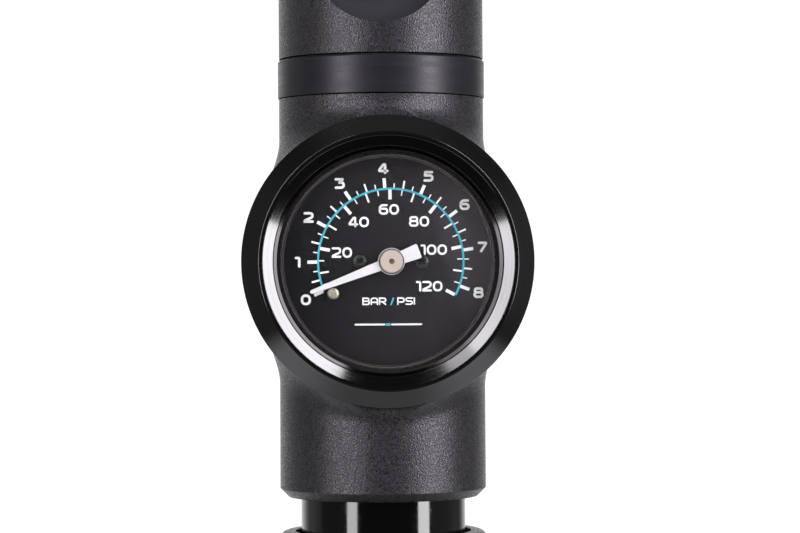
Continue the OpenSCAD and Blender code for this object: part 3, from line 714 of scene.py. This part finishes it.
def make_bezel():
    skirt_back, skirt_r, lip_r, lip_y, rim = -12.6, 17.4, 15.3, -15.75, 0.45
    inner = CASE_R + 0.1
    rear = BOSS_FRONT - 0.05
    lathe("bezel_ring",
          [(inner, skirt_back, 0), (skirt_r, skirt_back, 0), (skirt_r, rear, 0), (BEZEL_R, rear, 0.12),
           (BEZEL_R, rear - rim, 0.12), (17.2, CREST_Y, 0.14), (16.72, CREST_Y + 0.04, 0.07),
           (16.66, CREST_Y + 0.1, 0.03), (lip_r, lip_y, 0.08), (lip_r, LENS_FRONT, 0), (inner, LENS_FRONT, 0)],
          "pump_body", BEZEL, place=facing, segments=256, replaces=["bezel"], sharp=25)


def make_lens():
    """Window of the gauge, with a thin turned bead where it meets the bezel."""
    rebate = LENS_FRONT + 0.12
    lathe("lens_window",
          [(0, LENS_FRONT, 0), (14.9, LENS_FRONT, 0.05), (15.1, rebate, 0), (CASE_R, rebate, 0),
           (CASE_R, LENS_BACK, 0), (0, LENS_BACK, 0)],
          "pump_body", GLASS, place=facing, closed=False, segments=192, replaces=["gauge_lens"],
          sharp=25).visible_shadow = False
    bead_r = 15.28
    lathe("lens_bead",
          [(14.8, LENS_FRONT, 0), (bead_r, LENS_FRONT - 0.27, 0.05), (bead_r, LENS_FRONT, 0)],
          "pump_body", BEAD, place=facing, segments=192, slot="gasket")


def make_gasket():
    front, back = span("lens_gasket", 1)
    inner, top, foot = 14.2, front - 0.01, front + 0.12
    lathe("gasket_ring",
          [(inner, front, 0.1), (CASE_R, front, 0), (CASE_R, back, 0), (inner, back, 0)],
          "pump_body", GASKET, place=facing, segments=192, replaces=["lens_gasket"])
    for number, (inner, outer) in enumerate(((13.84, 13.9), (14.03, 14.15), (14.8, 14.88)), 1):
        lathe(f"gasket_edge_{number}",
              [(inner, top, 0.02), (outer, top, 0.02), (outer, foot, 0), (inner, foot, 0)],
              "pump_body", GASKET_EDGE, place=facing, segments=192, slot="gasket")


# -------- print on the dial

PRINT_THICK = 0.03


def dial_point(angle, radius):
    """Place on the dial at a clockwise angle from straight up, as (x, z) from its centre."""
    turn = math.radians(angle)
    return Vector((radius * math.sin(turn), radius * math.cos(turn)))


class Print:
    """Collects flat strokes on the dial and makes one thin piece of them."""

    def __init__(self):
        self.points, self.faces, self.layer = [], [], 0

    def stroke(self, path, width, closed=False, round_ends=True):
        count, steps = len(path), 8
        points, faces = [], []
        for index, here in enumerate(path):
            before = path[index - 1] if closed or index else here
            after = path[(index + 1) % count] if closed or index < count - 1 else here
            into, away = (here - before).normalized(), (after - here).normalized()
            along = (into + away).normalized()
            bend = max(0.5, along.dot(away if away.length else into))
            aside = Vector((-along.y, along.x)) * width / 2 / bend
            points += [here + aside, here - aside]
        for index in range(count if closed else count - 1):
            low, high = 2 * index, 2 * ((index + 1) % count)
            faces.append((low, low + 1, high + 1, high))
        if not closed and round_ends:
            for end, first, last in ((0, 0, 1), (count - 1, 2 * count - 1, 2 * count - 2)):
                arc = range(len(points), len(points) + steps - 1)
                for step in range(1, steps):
                    turn = Matrix.Rotation(math.pi * step / steps, 2)
                    points.append(path[end] + turn @ (points[first] - path[end]))
                faces.append((first, *arc, last))
        self.layer = (self.layer + 1) % 4
        depth = DIAL_FRONT - PRINT_THICK - 0.002 * self.layer
        start = len(self.points)
        self.points += [(DIAL_X + point.x, depth, GAUGE_Z + point.y) for point in points]
        self.faces += [tuple(start + index for index in face) for face in faces]

    def make(self, name, material):
        edit = start_mesh(self.points, self.faces)
        bmesh.ops.recalc_face_normals(edit, faces=edit.faces)
        for face in edit.faces:
            if face.normal.y > 0:
                face.normal_flip()
        thicken(edit, PRINT_THICK, use_keep_orig=True)
        return finish_piece(name, edit, "pump_body", material)


# Each glyph is its strokes. A stroke is whether it closes and its corners (across, up,
# rounding) in a box that is 1 high and 1 wide. NARROW has the widths that aren't 1.
NARROW = {"1": 0.42, "I": 0.0}
GLYPHS = {
    "0": [(True, [(0, 0, 0.42), (1, 0, 0.42), (1, 1, 0.42), (0, 1, 0.42)])],
    "1": [(False, [(0, 1, 0), (1, 1, 0.12), (1, 0, 0)])],
    "2": [(False, [(0, 1, 0), (0.97, 1, 0.32), (0.97, 0.52, 0.25), (0, 0.12, 0.1), (0, 0, 0), (1, 0, 0)])],
    "3": [(False, [(0, 1, 0), (0.92, 1, 0.04), (0.42, 0.6, 0.02), (1, 0.6, 0.3), (1, 0, 0.3), (0, 0, 0)])],
    "4": [(False, [(0.74, 0, 0), (0.74, 1, 0.14), (0.52, 1, 0.2), (0, 0.34, 0.08), (0, 0.22, 0.06), (1, 0.22, 0)])],
    "5": [(False, [(0.95, 1, 0), (0.1, 1, 0.04), (0.05, 0.6, 0.03), (1, 0.6, 0.3), (1, 0, 0.3), (0, 0, 0)])],
    "6": [(False, [(0.92, 1, 0), (0, 1, 0.42), (0, 0, 0.34), (1, 0, 0.32), (1, 0.58, 0.3), (0.02, 0.58, 0)])],
    "7": [(False, [(0, 1, 0), (1, 1, 0.08), (0.3, 0, 0)])],
    "8": [(True, [(0, 0, 0.27), (1, 0, 0.27), (1, 0.54, 0.25), (0, 0.54, 0.25)]),
          (True, [(0.05, 0.54, 0.2), (0.95, 0.54, 0.2), (0.95, 1, 0.22), (0.05, 1, 0.22)])],
    "A": [(False, [(0, 0, 0), (0, 1, 0.34), (1, 1, 0.34), (1, 0, 0)]), (False, [(0, 0.34, 0), (1, 0.34, 0)])],
    "B": [(True, [(0, 0, 0), (1, 0, 0.26), (1, 0.52, 0.24), (0, 0.52, 0)]),
          (True, [(0, 0.52, 0), (0.93, 0.52, 0.2), (0.93, 1, 0.24), (0, 1, 0)])],
    "I": [(False, [(0, 0, 0), (0, 1, 0)])],
    "P": [(False, [(0, 0, 0), (0, 1, 0), (1, 1, 0.3), (1, 0.36, 0.3), (0, 0.36, 0)])],
    "R": [(False, [(0, 0, 0), (0, 1, 0), (1, 1, 0.28), (1, 0.42, 0.28), (0, 0.42, 0)]),
          (False, [(0.42, 0.42, 0), (1, 0, 0)])],
    "S": [(False, [(1, 1, 0), (0, 1, 0.26), (0, 0.5, 0.24), (1, 0.5, 0.24), (1, 0, 0.26), (0, 0, 0)])],
}


def write(ink, text, centre, height, width, line, gap):
    """Writes numbers or units on the dial, centred, as round-ended strokes."""
    rise = height - line
    widths = [NARROW.get(letter, 1.0) * (width - line) for letter in text]
    pen = centre.x - (sum(widths) + (line + gap) * (len(text) - 1)) / 2
    for letter, glyph_width in zip(text, widths):
        shrink = max(glyph_width, 0.001)
        for closed, corners in GLYPHS[letter]:
            scaled = [(x * shrink, y * rise, r * rise) for x, y, r in corners]
            path = [Vector((pen + point.x, centre.y - rise / 2 + point.y)) for point in round_corners(scaled, closed)]
            ink.stroke(path, line, closed)
        pen += glyph_width + line + gap


ZERO_ANGLE = -118.7
PSI_DEGREES, BAR_DEGREES = 1.970, 28.57
ARC_R, ARC_WIDTH = 9.73, 0.27
TICK_WIDTHS = (0.42, 0.235, 0.15)


def tick(ink, angle, inner, outer, width):
    ink.stroke([dial_point(angle, inner), dial_point(angle, outer)], width, round_ends=False)


def rank_of(value, numbered):
    """0 for a tick with a numeral, 1 for the one halfway to the next numeral, 2 for the others."""
    return 0 if value % numbered == 0 else 1 if value % (numbered // 2) == 0 else 2


def make_scales():
    """Bar scale outside the arc and psi scale inside it, their numerals, the units and a rule."""
    white, cyan = Print(), Print()
    start, end, steps = -113.2, 117.8, 120
    cyan.stroke([dial_point(start + (end - start) * step / steps, ARC_R) for step in range(steps + 1)],
                ARC_WIDTH, round_ends=False)
    inner, outer = ARC_R - ARC_WIDTH / 2, ARC_R + ARC_WIDTH / 2
    for quarter in range(2, 33):
        rank = rank_of(quarter, 4)
        tick(white, ZERO_ANGLE + BAR_DEGREES * quarter / 4, outer, (11.15, 10.92, 10.45)[rank], TICK_WIDTHS[rank])
    tick(white, ZERO_ANGLE + 5.2, outer, 11.17, 0.4)
    for psi in range(5, 121, 5):
        angle, rank = ZERO_ANGLE + PSI_DEGREES * psi, rank_of(psi, 20)
        if angle > start:
            tick(white, angle, (8.3, 8.4, 8.9)[rank], inner, TICK_WIDTHS[rank])
    for bar in range(9):
        angle = ZERO_ANGLE + BAR_DEGREES * bar if bar else -113.9
        write(white, str(bar), dial_point(angle, 12.45), 1.44, 1.36, 0.33, 0.22)
    for text, angle, radius in (("20", -79.4, 6.66), ("40", -38.9, 6.8), ("60", -2, 6.96), ("80", 35.4, 6.55),
                                ("100", 74.9, 5.95), ("120", 123.1, 6.1)):
        write(white, text, dial_point(angle, radius), 1.39, 1.27, 0.265, 0.15)
    units_z, rule_z = -5.3, -8.4
    for text, x in (("BAR", -2.25), ("PSI", 2.0)):
        write(white, text, Vector((x, units_z)), 1.0, 1.0, 0.175, 0.1)
    cyan.stroke([Vector((-0.02, units_z - 0.45)), Vector((0.3, units_z + 0.4))], 0.2)
    for ink, left, right, width in ((white, -4.8, -0.9, 0.22), (white, 0.1, 4.0, 0.22), (cyan, -0.55, -0.25, 0.34)):
        ink.stroke([Vector((left, rule_z)), Vector((right, rule_z))], width)
    white.make("dial_print_white", WHITE_PRINT)
    cyan.make("dial_print_cyan", CYAN_PRINT)


# -------- needle and small metal parts

def make_needle():
    """Stamped needle with softened edges, a wide tail and a moulded hub."""
    tip, tail, hub_half, tip_half, tail_half = 11.6, 4.0, 0.72, 0.26, 1.0
    outline = [(-hub_half, 0.3), (-tip_half, tip - 0.28), (-tip_half * 0.6, tip - 0.06), (0, tip),
               (tip_half * 0.6, tip - 0.06), (tip_half, tip - 0.28), (hub_half, 0.3),
               (tail_half * 0.8, -0.8), (tail_half, -tail + 0.15), (tail_half - 0.15, -tail),
               (-tail_half + 0.15, -tail), (-tail_half, -tail + 0.15), (-tail_half * 0.8, -0.8)]
    turn = math.radians(-NEEDLE_REST)
    corners = []
    for across, along in outline:
        x = across * math.cos(turn) - along * math.sin(turn)
        z = across * math.sin(turn) + along * math.cos(turn)
        corners.append((DIAL_X + x, NEEDLE_BACK, GAUGE_Z + z))
    edit = start_mesh(corners, [tuple(range(len(corners)))])
    thicken(edit, NEEDLE_FRONT - NEEDLE_BACK)
    bmesh.ops.bevel(edit, geom=edit.edges[:], offset=0.04 * MM, segments=2, affect="EDGES")
    finish_piece("needle_blade", edit, "pointer", NEEDLE_PAINT, ["needle"])
    round_about = {"place": facing, "x": DIAL_X, "segments": 96}
    hole_r, neck_r, face_r, rim_r = 0.36, 0.65, 1.5, 1.56
    lathe("needle_hub_cap",
          [(hole_r, HUB_FRONT + 0.06, 0.03), (0.5, HUB_FRONT, 0.05), (face_r, HUB_FRONT, 0.12),
           (rim_r, HUB_FRONT + 0.3, 0), (1.2, NEEDLE_FRONT, 0), (neck_r, NEEDLE_BACK, 0), (neck_r, HUB_BACK, 0),
           (hole_r, HUB_BACK, 0)],
          "pointer", HUB_PAINT, replaces=["needle_hub"], **round_about)
    foot, gap_r, edge_r, boss_r = NEEDLE_FRONT + 0.02, 1.54, 1.70, 1.79
    lathe("needle_hub_edge",
          [(gap_r, foot, 0), (edge_r, foot, 0), (edge_r, NEEDLE_FRONT - 0.3, 0.03), (gap_r, NEEDLE_FRONT - 0.3, 0.03)],
          "pointer", GASKET, slot="hub_beige", **round_about)
    lathe("needle_boss",
          [(1.6, foot, 0), (boss_r, foot, 0), (boss_r, NEEDLE_FRONT - 0.14, 0.04), (1.69, NEEDLE_FRONT - 0.2, 0.03),
           (1.69, NEEDLE_FRONT - 0.1, 0), (1.6, NEEDLE_FRONT - 0.1, 0)],
          "pointer", NEEDLE_PAINT, slot="needle_white", **round_about)


def make_arbor():
    """Arbor of the needle, which carries the hub on its staked end."""
    front, back = span("needle_arbor", 1)
    full_r, pin_r = radius_of("needle_arbor"), 0.35
    lathe("arbor",
          [(0, front + 0.16, 0), (0.13, front + 0.18, 0.04), (0.18, front + 0.4, 0), (pin_r, front + 0.44, 0),
           (pin_r, HUB_BACK, 0), (full_r, HUB_BACK, 0), (full_r, back, 0.1), (0, back, 0)],
          "pointer", DARK_BRASS, place=facing, x=DIAL_X, closed=False, segments=64, replaces=["needle_arbor"])


def make_dial_screws():
    """Pan-head screws with a cross recess, beside the hub."""
    low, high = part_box("dial_screws")
    front, back = low[1] / MM, DIAL_FRONT
    tail, middle_z = high[1] / MM, (low[2] + high[2]) / 2 / MM
    head_r, shank_r, dome, half_slot, slot_reach, slot_depth = 0.89, 0.5, 0.22, 0.13, 0.55, 0.3
    reach, cell = 1.2, 0.07

    def field(x, y, z, centre):
        across, up = x - centre, z - middle_z
        rho = np.hypot(across, up)
        head = round_and(rho - head_r, front - y + dome * (rho / head_r) ** 2, 0.08)
        head = np.maximum(head, y - back)
        shank = np.maximum(rho - shank_r, np.maximum(back - 0.05 - y, y - tail))
        first, second = np.abs(across + up) / math.sqrt(2), np.abs(across - up) / math.sqrt(2)
        cross = np.minimum(np.maximum(first - half_slot, second - slot_reach),
                           np.maximum(second - half_slot, first - slot_reach))
        return cut(np.minimum(head, shank), np.maximum(cross, y - front - slot_depth))

    # The box isn't centred on the screw, which keeps the slots off the grid's diagonals.
    for number, centre in enumerate((low[0] / MM + head_r, high[0] / MM - head_r), 1):
        field_piece(f"dial_screw_{number}", lambda x, y, z, c=centre: field(x, y, z, c),
                    (centre - reach - 0.03, front - 0.3, middle_z - reach - 0.01),
                    (centre + reach, tail + 0.3, middle_z + reach),
                    cell, "pump_body", SCREW_BLACK, ["dial_screws"])


def make_spring(node, axis, mean_r, wire_r, turns):
    """Coil spring in its node's box, wound along the given axis."""
    low, high = (np.array(corner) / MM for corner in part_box(node))
    across = [side for side in (0, 1, 2) if side != axis]
    middle, length = (low + high) / 2, high[axis] - low[axis]
    gap, steps, sides = 0.02, 28 * turns, 10
    points = []
    for step in range(steps + 1):
        share = step / steps
        rise = share - 0.8 * math.sin(2 * math.pi * share) / (2 * math.pi)
        along = low[axis] + gap + wire_r + (length - 2 * wire_r - 2 * gap) * rise
        turn = 2 * math.pi * turns * share
        for side in range(sides):
            around = 2 * math.pi * side / sides
            reach = mean_r + wire_r * math.cos(around)
            point = [0, 0, 0]
            point[across[0]] = middle[across[0]] + reach * math.cos(turn)
            point[across[1]] = middle[across[1]] + reach * math.sin(turn)
            point[axis] = along + wire_r * math.sin(around)
            points.append(point)
    faces = [tuple(range(sides)), tuple(steps * sides + side for side in range(sides))]
    for step in range(steps):
        for side in range(sides):
            here, following = step * sides + side, step * sides + (side + 1) % sides
            faces.append((here, following, following + sides, here + sides))
    spring = make_piece(node + "_coil", points, faces, "pump_body", STEEL, [node])
    anchor, way = middle.copy(), [0, 0, 0]
    anchor[axis], way[axis] = high[axis], 1
    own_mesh(spring)


def make_springs():
    make_spring("bleed_spring", 1, 2.2, 0.25, 3)
    make_spring("check_spring", 2, 1.8, 0.2, 4)


def make_stop_pin():
    low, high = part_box("stop_pin")
    x, z = (low[0] + high[0]) / 2 / MM, (low[2] + high[2]) / 2 / MM
    front, back = low[1] / MM, high[1] / MM
    shank_r, shoulder = 0.5, back - 0.4
    lathe("stop_pin_head",
          [(0, front, 0), (0.42, front, 0.1), (0.74, front + 0.22, 0.1), (0.76, shoulder, 0), (shank_r, shoulder, 0),
           (shank_r, back, 0), (0, back, 0)],
          "pump_body", PIN_STEEL, place=facing, x=x, z=z, closed=False, segments=64, replaces=["stop_pin"])


# -------- floor, lights and camera

def make_floor():
    """Paper under the pump, which stands on the end of its handle, also when that is drawn out."""
    size, gap = 1.1, 0.0002
    corners = [(-size, -size, -gap), (size, -size, -gap), (size, size, -gap), (-size, size, -gap)]
    mesh = bpy.data.meshes.new("floor")
    mesh.from_pydata(corners, [], [(0, 1, 2, 3)])
    surface = Surface("floor_paper", (0.8, 0.8, 0.8), 0.8, Emission_Color=(1, 1, 1, 1))
    away = surface.add("ShaderNodeVectorMath", {0: surface.place}, operation="LENGTH").outputs["Value"]
    surface.feed(surface.shader, "Emission Strength", surface.spread(away, 0.45, 1.0, 0.3, 0.9))
    mesh.materials.append(surface.material)
    floor = add_object("floor", mesh)
    floor.visible_glossy = floor.visible_diffuse = floor.visible_shadow = False
    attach(floor, "handle")


CAMERA_AZIMUTH = -3.25
STRIP_DISTANCE = 1.2


def direction(azimuth):
    """Level unit vector from the gauge towards an azimuth that is counted from the camera's."""
    turn = math.radians(azimuth + CAMERA_AZIMUTH)
    return Vector((math.sin(turn), -math.cos(turn), 0))


def strip_light(name, azimuth, low, high, width, radiance, lean):
    """A strip light between two elevations, in degrees, whose top leans to its right."""
    bottom, top = (STRIP_DISTANCE * math.tan(math.radians(angle)) for angle in (low, high))
    light = bpy.data.lights.new(name, "AREA")
    light.shape = "RECTANGLE"
    light.size, light.size_y = width, top - bottom
    light.energy = radiance * math.pi * width * (top - bottom)
    towards = direction(azimuth)
    turn = Matrix.Rotation(math.radians(lean), 4, towards)
    foot = Matrix.Translation((0, 0, GAUGE_Z * MM)) @ Matrix.Translation(towards * STRIP_DISTANCE)
    facing_pump = towards.to_track_quat("Z", "Y").to_matrix().to_4x4()
    lamp = add_object(name, light)
    lamp.matrix_world = foot @ turn @ Matrix.Translation((0, 0, (top + bottom) / 2)) @ facing_pump
    lamp.visible_camera = False


def make_world():
    """A dim room with white paper behind the pump and under it; the camera sees plain white."""
    world = bpy.data.worlds.new("studio")
    world.use_nodes = True
    nodes = Nodes(world.node_tree)
    coordinates = nodes.add("ShaderNodeTexCoord", {})
    parts = nodes.add("ShaderNodeSeparateXYZ", {0: coordinates.outputs["Generated"]}).outputs
    across, ahead, up = parts["X"], parts["Y"], parts["Z"]
    sideways = nodes.math("ABSOLUTE", across)

    def fade(value, start, end, low, high):
        return nodes.spread(value, low, high, start, end, interpolation_type="SMOOTHSTEP")

    left = nodes.math("MULTIPLY", fade(across, -0.9, -0.6, 0.2, 0.0), fade(ahead, 0.08, 0.25, 0.35, 1.0))
    table = nodes.math("MULTIPLY", fade(up, -0.65, -0.5, 1.0, 0.0), fade(ahead, -0.5, -0.36, 0.0, 1.0))
    table = nodes.math("MULTIPLY", table, fade(sideways, 0.2, 0.65, 0.36, 0.9))
    glow = fade(ahead, 0.6, 0.95, 0.0, 1.0)
    for light in (left, fade(ahead, 0.1, 0.6, 0.0, 0.1), fade(across, 0.75, 0.98, 0.03, 0.15),
                  fade(up, 0.8, 0.95, 0.0, 0.09), table):
        glow = nodes.math("ADD", glow, light)
    camera_ray = nodes.add("ShaderNodeLightPath", {}).outputs["Is Camera Ray"]
    background = nodes.tree.nodes["Background"]
    nodes.feed(background, "Strength", nodes.math("MAXIMUM", glow, camera_ray))
    nodes.feed(background, "Color", (1, 1, 1, 1))
    bpy.context.scene.world = world


def make_camera():
    """Camera in front of the gauge, and slightly to its left and below it; millimetres and degrees."""
    lens, distance, below, aim_right, aim_up, roll = 127.0, 389.0, 2.8, 0.366, 0.323, 0.33
    data = bpy.data.cameras.new("camera")
    data.lens, data.sensor_width = lens, 36.0
    data.clip_start, data.clip_end = 0.01, 50.0
    camera = add_object("camera", data)
    place = Vector((0, 0, (GAUGE_Z - below) * MM)) + direction(0) * distance * MM
    heading = math.radians(CAMERA_AZIMUTH - aim_right)
    rotation = (Matrix.Rotation(heading, 4, "Z") @ Matrix.Rotation(math.radians(90 + aim_up), 4, "X")
                @ Matrix.Rotation(math.radians(-roll), 4, "Z"))
    camera.matrix_world = Matrix.Translation(place) @ rotation
    bpy.context.scene.camera = camera


def make_studio():
    make_floor()
    make_world()
    strip_light("strip_left", -43, -15.5, 38, 0.31, 7.8, -9)
    strip_light("strip_left_top", -43, 38, 66, 0.31, 4.0, -9)
    strip_light("strip_right", 57, -14.5, 52, 0.36, 10.2, 10)
    bpy.context.scene.view_settings.view_transform = "Standard"
    make_camera()


for make in (dress_nodes, make_head, make_bleed_button, make_swivel, make_barrel, make_handle, make_bezel, make_lens,
             make_gasket, make_scales, make_needle, make_arbor, make_dial_screws, make_stop_pin, make_springs,
             make_studio):
    make()

bpy.context.view_layer.update()
